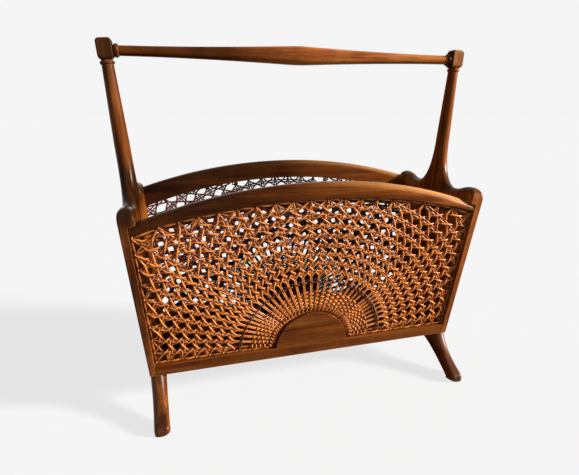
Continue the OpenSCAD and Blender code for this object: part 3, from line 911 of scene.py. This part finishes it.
class Caning:
    """The cane of one side: its holes round the frame and the strands between them."""

    def __init__(self, side, word):
        self.side, self.word, self.chance = side, word, random.Random(7)
        self.rays = self.ray_holes()
        self.spare = self.spare_holes()
        self.holes = np.vstack([self.rays, self.spare, self.spare * (-1, 1)])
        self.ray_n = len(self.rays)
        self.angles = np.arctan2(self.rays[:, 1] - SUN_S, self.rays[:, 0])

    def ray_holes(self):
        """Holes of the rays round the frame, from the lower right round to the lower left."""
        heights = [SIDE_HOLE_LOW + SIDE_HOLE_STEP * k for k in range(SIDE_HOLES)]
        right = [(lip_x(s) - HOLE_IN, s) for s in heights]
        along = [TOP_HOLE_STEP * (k + 0.5) for k in reversed(range(TOP_HOLES))]
        right += [(x, under(x, self.side) - HOLE_IN) for x in along]
        return np.array(right + [(-x, s) for x, s in reversed(right)])

    def spare_holes(self):
        """Holes along the right half of the bottom rail and in the panel's two right corners."""
        low = SUN_S + HOLE_IN
        high = under(lip_meets(under, self.side), self.side) - 2 * HOLE_IN
        right = [(BOTTOM_HOLE_FAR - BOTTOM_HOLE_STEP * k, low) for k in range(BOTTOM_HOLES)]
        return np.array(right + [(lip_x(low) - HOLE_IN, low), (lip_x(high) - HOLE_IN, high)])

    def ray_angle(self, u):
        """Direction of a place between the rays, counted from the lower right ray."""
        last = self.ray_n - 1
        inner = np.interp(u, np.arange(self.ray_n), self.angles)
        first_step, last_step = self.angles[1] - self.angles[0], self.angles[-1] - self.angles[-2]
        return inner + np.minimum(u, 0) * first_step + np.maximum(u - last, 0) * last_step

    def room(self, place):
        """Distance from the line of the holes round the panel."""
        x, s = place[:, 0], place[:, 1]
        lips = (lip_x(s) - HOLE_IN - np.abs(x)) * COS_END
        top = under(x, self.side) - HOLE_IN - s
        return np.minimum(np.minimum(lips, top), s - SUN_S - HOLE_IN)

    def into_hole(self, path):
        """Leads the end of a path to the nearest hole and down into it."""
        ahead = path[-1, :2] - path[-3, :2]
        ahead /= np.linalg.norm(ahead)
        aim = path[-1, :2] + ahead * HOLE_REACH
        hole = self.holes[np.argmin(np.linalg.norm(self.holes - aim, axis=1))]
        last = path[-1]
        steps = [(0.3, last[2] * 0.7), (0.6, -0.2), (0.85, -0.7), (1.0, IN_HOLE)]
        tail = [(*(last[:2] + (hole - last[:2]) * t), h) for t, h in steps]
        return np.vstack([path, tail])

    def inside_runs(self, path, clear):
        """Stretches of a path that keep clear of the frame."""
        free = self.room(path[:, :2]) > clear
        edges = np.flatnonzero(np.diff(np.concatenate([[0], free.astype(int), [0]])))
        return [(a, b) for a, b in zip(edges[::2], edges[1::2]) if b - a > 4]

    def wobble(self, path):
        """Small unevenness of handwork along a path."""
        phase = self.chance.uniform(0, 6.28)
        rate = self.chance.uniform(0.08, 0.16)
        path, at = np.array(path, float), np.arange(len(path))
        path[:, 0] += WOBBLE * np.sin(phase + rate * at)
        path[:, 1] += WOBBLE * np.cos(1.3 * phase + rate * at)
        return path

    def widths(self, path, width):
        """Width along a strand. The back is caned more closely, but for the strip under its top rail."""
        if self.side == FRONT:
            return np.full(len(path), width)
        depth = under(path[:, 0], BACK) - path[:, 1]
        return width + BACK_EXTRA * np.interp(depth, BACK_FINE, (0.0, 1.0))

    def around(self, count_per_ray):
        """Places round the sun from one end of the bands to the other."""
        return np.linspace(-0.35, self.ray_n - 0.65, self.ray_n * count_per_ray)

    def ray_pairs(self, strands):
        """Two strands side by side from the sun block to each hole, woven through the rings."""
        for i, (hole, angle) in enumerate(zip(self.rays, self.angles)):
            end = math.hypot(hole[0], hole[1] - SUN_S)
            pitch = self.ray_angle(i + 0.5) - self.ray_angle(i - 0.5)
            r = np.concatenate([from_sun(end - 1, 1.9), [end - HOLE_STEP, end]])
            open_out = np.clip((r - OPEN_FROM) / OPEN_OVER, 0, 1)
            near_hole = np.clip((end - r) / CLOSE_OVER, 0, 1)
            inner = BAND_SPREAD / r
            spread = inner + (RAY_SPREAD * pitch - inner) * open_out ** 2 * (3 - 2 * open_out)
            spread = spread * (CLOSE_SHARE + (1 - CLOSE_SHARE) * near_hole)
            steps = (-RING_SPREAD, RING_SPREAD, 0.5)
            crossings = [[ring_radius(v + step, angle) for step in steps] for v in range(RING_COUNT)]
            for beside in (-1, 1):
                height = over_and_under(r, (SUN_R, SPOKE_END - 1), BAND_LOW, crossings, beside > 0)
                height[-2:] = (-0.9, IN_HOLE)
                height[0] = TUCKED
                path = self.wobble(np.column_stack([polar(r, angle + beside * spread), height]))
                width = self.widths(path, RAY_W) - BAND_THIN * (1 - open_out)
                strands.add(path, width, RAY_T, RAY_TONE)

    def ring_pairs(self, strands):
        """Two strands side by side round the sun, woven through the rays and cut off by the frame."""
        u = np.arange(-1.0, self.ray_n + 0.01, 0.14)
        angle = self.ray_angle(u)
        crossings = [(i - RAY_SPREAD, i + RAY_SPREAD, i + 0.5) for i in range(-1, self.ray_n + 1)]
        for v in range(RING_COUNT):
            for beside in (-1, 1):
                height = over_and_under(u, (-2.0,), 0.0, crossings, beside < 0)
                place = polar(ring_radius(v + beside * RING_SPREAD, angle), angle)
                path = self.wobble(np.column_stack([place, height]))
                for a, b in self.inside_runs(path, HOLE_REACH * 0.8):
                    run = self.into_hole(path[a:b])
                    run = self.into_hole(run[::-1])
                    strands.add(run, self.widths(run, RAY_W), RAY_T, RAY_TONE)

    def diagonals(self, strands):
        """Single strands that cross every cell of the net from corner to corner, in both slants."""
        v = np.arange(-0.36, RING_COUNT, 0.1)
        lift = np.clip(DIAGONAL_FLAT * np.cos(2 * math.pi * v), -1, 1)
        for slant in (1, -1):
            for start in range(-RING_COUNT, self.ray_n + RING_COUNT):
                angle = self.ray_angle(start + slant * (v + 0.5))
                height = np.where(v < -0.12, PAIR_RISE, -slant * lift)
                path = self.wobble(np.column_stack([polar(ring_radius(v, angle), angle), height]))
                for a, b in self.inside_runs(path, HOLE_REACH):
                    run = self.into_hole(path[a:b])
                    if a == 0 and 0 <= start < self.ray_n:
                        inner = self.spoke(start, slant)
                        width = np.concatenate([np.full(len(inner), SPOKE_W), self.widths(run, DIAGONAL_W)])
                        run = np.vstack([inner, run])
                    elif a > 0:
                        run = self.into_hole(run[::-1])
                        width = self.widths(run, DIAGONAL_W)
                    else:
                        continue
                    strands.add(run, width, DIAGONAL_T, DIAGONAL_TONE)

    def spoke(self, ray, slant):
        """Inner stretch of a diagonal strand, which lies on its ray through the woven bands."""
        r = from_sun(SPOKE_END - 2, 2.4)
        height = np.full(len(r), SPOKE_RISE)
        height[0] = TUCKED
        place = polar(r, self.ray_angle(np.full(len(r), ray)) + slant * SPOKE_IN / r)
        return np.column_stack([place, height])

    def band_row(self, strands, u, radius, height, *looks):
        """One strand of the woven bands, which lie a little flatter on top, with its ends tucked in."""
        angle = self.ray_angle(u)
        height[[0, -1]] = TUCKED
        radius = radius - BAND_DROP * np.sin(angle) ** 2
        strands.add(np.column_stack([polar(radius, angle), height]), *looks)

    def close_weave(self, strands):
        """Rows that go over one spoke and under the next, in turn with the rows beside them."""
        u = self.around(9)
        for row in range(WEAVE_ROWS):
            height = WEAVE_RISE * np.clip(WEAVE_FLAT * np.cos(math.pi * (u + row)), -1, 1)
            radius = WEAVE_IN + WEAVE_PITCH * row + WEAVE_SWAY * np.sin(2.1 * u + row)
            self.band_row(strands, u, radius, height, WEAVE_W, WEAVE_T, WEAVE_TONE)

    def twine(self, strands, radius, sway, *looks):
        """Two strands that twist round each other and take a spoke between them at every half turn."""
        u = self.around(11)
        for phase in (0.0, math.pi):
            turn = math.pi * u + phase
            height = TWINE_RISE * np.clip(TWINE_FLAT * np.cos(turn), -1, 1)
            self.band_row(strands, u, radius + sway * np.sin(turn), height, *looks)

    def binder_rows(self):
        """Rows of holes along the bottom, sides and top of the panel, with the direction inwards."""
        low = SUN_S + HOLE_IN
        start = math.sqrt((SUN_R + 2.5) ** 2 - HOLE_IN ** 2)
        spare, rays = self.spare, self.rays
        bottom = [(start, low), *spare[:BOTTOM_HOLES][::-1], spare[-2]]
        side = [spare[-2], *rays[:SIDE_HOLES], spare[-1]]
        top = [spare[-1], *rays[SIDE_HOLES:self.ray_n - SIDE_HOLES], spare[-1] * (-1, 1)]
        rows = [(bottom, (0, 1)), (side, (-1, 0)), (top, (0, -1))]
        mirrored = [(np.array(row) * (-1, 1), (-x, s)) for row, (x, s) in rows[:2]]
        return [(np.array(row), np.array(inward, float)) for row, inward in rows + mirrored]

    def binder(self, strands):
        """Stitches of wider cane that run from hole to hole over the ends of the other strands."""
        t = np.linspace(0, 1, 15)
        swell = np.sqrt(np.sin(math.pi * t))
        for row, inward in self.binder_rows():
            # Painted shade: the binders along the sides darker, as in the shade of the lips
            tone = BINDER_TONE - SIDE_BINDER_SHADE * abs(inward[0])
            width = BINDER_W * (BINDER_TAPER + (1 - BINDER_TAPER) * swell)
            for a, b in zip(row[:-1], row[1:]):
                slant = self.chance.uniform(-0.3, 0.3) + 1 - 2 * t
                sway = BINDER_SWAY * slant * np.sign(a[0] - b[0] - 0.01)
                place = a + (b - a) * t[:, None] + inward * sway[:, None]
                height = TUCKED + swell * self.chance.uniform(*BINDER_RISE)
                strands.add(np.column_stack([place, height]), width, BINDER_T, tone)
        for hole in self.holes:
            self.knot(strands, hole)

    def knot(self, strands, hole):
        """Short loop over the binder at a hole."""
        across = np.array((1.0, 0.35)) if hole[1] < SUN_S + 2 * HOLE_IN else np.array((0.5, 1.0))
        across = across / np.linalg.norm(across)
        path = [(*(hole + across * step), height) for step, height in KNOT_STEPS]
        strands.add(path, KNOT_W, KNOT_T, KNOT_TONE)

    def build(self):
        """Makes all the cane of the side."""
        for name, fill, nodes in (
            ("ray_strands", self.ray_pairs, ("cane_rays",)),
            ("ring_strands", self.ring_pairs, ("cane_rings",)),
            ("diagonal_strands", self.diagonals, ("cane_rays", "cane_rings")),
            ("close_weave", self.close_weave, ("sun_weave",)),
            ("outer_twine", lambda strands: self.twine(strands, *OUTER_TWINE), ("twined_ring",)),
            ("inner_twine", lambda strands: self.twine(strands, *INNER_TWINE), ("sun_weave",)),
            ("binder", self.binder, ("cane_binder",)),
        ):
            strands = Strands(self.chance)
            fill(strands)
            strands.piece(f"{self.word}_{name}", self.side, *(f"{self.word}_{node}" for node in nodes))


# Camera, floor and light
CAMERA_PLACE = (-163.05, -560.98, 370.68)
CAMERA_YAW, CAMERA_PITCH, CAMERA_ROLL = 15.077, 16.81, -0.134
CAMERA_LENS, CAMERA_SENSOR = 26.585, 36.0
FLOOR_HALF = 20000.0
FLOOR_TONE, FLOOR_SPECK = 0.15, 0.004
FLOOR_GLOW = 0.747
AMBIENT, PAPER = 0.06, 0.91

# Lamps: name, direction towards the lamp, strength and angle of its disc
SUN_LAMPS = (
    ("key", (0.93, -0.31, 0.32), 9.1, 8),
    ("fill", (-0.35, -0.9, 0.3), 0.4, 60),
    ("back", (-0.3, 0.85, 0.35), 1.0, 70),
)


def set_camera():
    """Camera that sees the rack as the photograph does."""
    yaw, pitch, roll = (math.radians(a) for a in (CAMERA_YAW, CAMERA_PITCH, CAMERA_ROLL))
    ahead = Vector((math.sin(yaw) * math.cos(pitch), math.cos(yaw) * math.cos(pitch), -math.sin(pitch)))
    right = Vector((math.cos(yaw), -math.sin(yaw), 0))
    up = right.cross(ahead)
    right, up = (right * math.cos(roll) + up * math.sin(roll),
                 up * math.cos(roll) - right * math.sin(roll))
    data = bpy.data.cameras.new("camera")
    data.sensor_fit = "HORIZONTAL"
    data.sensor_width = CAMERA_SENSOR
    data.lens = CAMERA_LENS
    data.clip_start = 0.01
    data.clip_end = 100.0
    camera = in_scene("camera", data)
    turn = Matrix((right, up, -ahead)).transposed().to_4x4()
    camera.matrix_world = Matrix.Translation(Vector(CAMERA_PLACE) * MM) @ turn
    bpy.context.scene.camera = camera


def set_floor():
    """Pale floor that takes the soft shadow of the rack and melts into the background."""
    size = FLOOR_HALF
    corners = [(-size, -size, 0), (size, -size, 0), (size, size, 0), (-size, size, 0)]
    n = Nodes(bpy.data.materials.new("floor"))
    speck = n.noise(n.place(), 35.0, 2.0, 0.5)
    tone = n.ramp(speck, [(0.3, strengths(FLOOR_TONE)), (0.7, strengths(FLOOR_TONE + FLOOR_SPECK))])
    glow = n.maths("MULTIPLY", n.seen_directly(), FLOOR_GLOW)
    material = n.surface(Base_Color=tone, Roughness=0.95, Specular_IOR_Level=0.0,
                         Emission_Color=(1, 1, 1, 1), Emission_Strength=glow)
    floor = new_object("floor", corners, [(0, 1, 2, 3)], material)


def set_light():
    """Low studio light from the right that rakes over the front, and a pale surround."""
    for name, towards, strength, angle in SUN_LAMPS:
        lamp = bpy.data.lights.new(name, "SUN")
        lamp.energy = strength
        lamp.angle = math.radians(angle)
        in_scene(name, lamp).rotation_euler = Vector(towards).to_track_quat("Z", "Y").to_euler()
    world = bpy.data.worlds.new("surround")
    bpy.context.scene.world = world
    n = Nodes(world)
    level = n.span(n.seen_directly(), 0.0, 1.0, AMBIENT, PAPER)
    background = n.add("ShaderNodeBackground", {"Color": (1, 1, 1, 1), "Strength": level})
    n.add("ShaderNodeOutputWorld", {"Surface": background.outputs[0]})
    bpy.context.scene.view_settings.view_transform = "Standard"


# The rack
def paint(node, material):
    """Gives a CAD node that stays in view its material."""
    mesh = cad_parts[node].data
    mesh.materials.clear()
    mesh.materials.append(material)


def build():
    """Makes every piece of the rack."""
    for end, word in ((LEFT, "left"), (RIGHT, "right")):
        node = f"{word}_end_board"
        finish_piece(end_board(f"{word}_board", end), "wood", node)
        finish_piece(post(f"{word}_post", end), "wood", node)
        finish_piece(head_block(f"{word}_block", end), "wood", node)
        finish_piece(foot(f"{word}_cross_foot", end), "wood", f"{word}_foot")
    for side, word in ((FRONT, "front"), (BACK, "back")):
        finish_piece(top_rail(f"{word}_arched_rail", side), "wood", f"{word}_top_rail")
        finish_piece(bottom_rail(f"{word}_sun_rail", side), "wood", f"{word}_bottom_rail")
        Caning(side, word).build()
    finish_piece(handle("turned_handle"), "wood", "handle_bar")
    paint("bottom_board", WOOD_INSIDE)
    paint("rail_dowels", DOWEL_Y)
    paint("foot_dowels", DOWEL_Z)


build()
set_floor()
set_light()
set_camera()
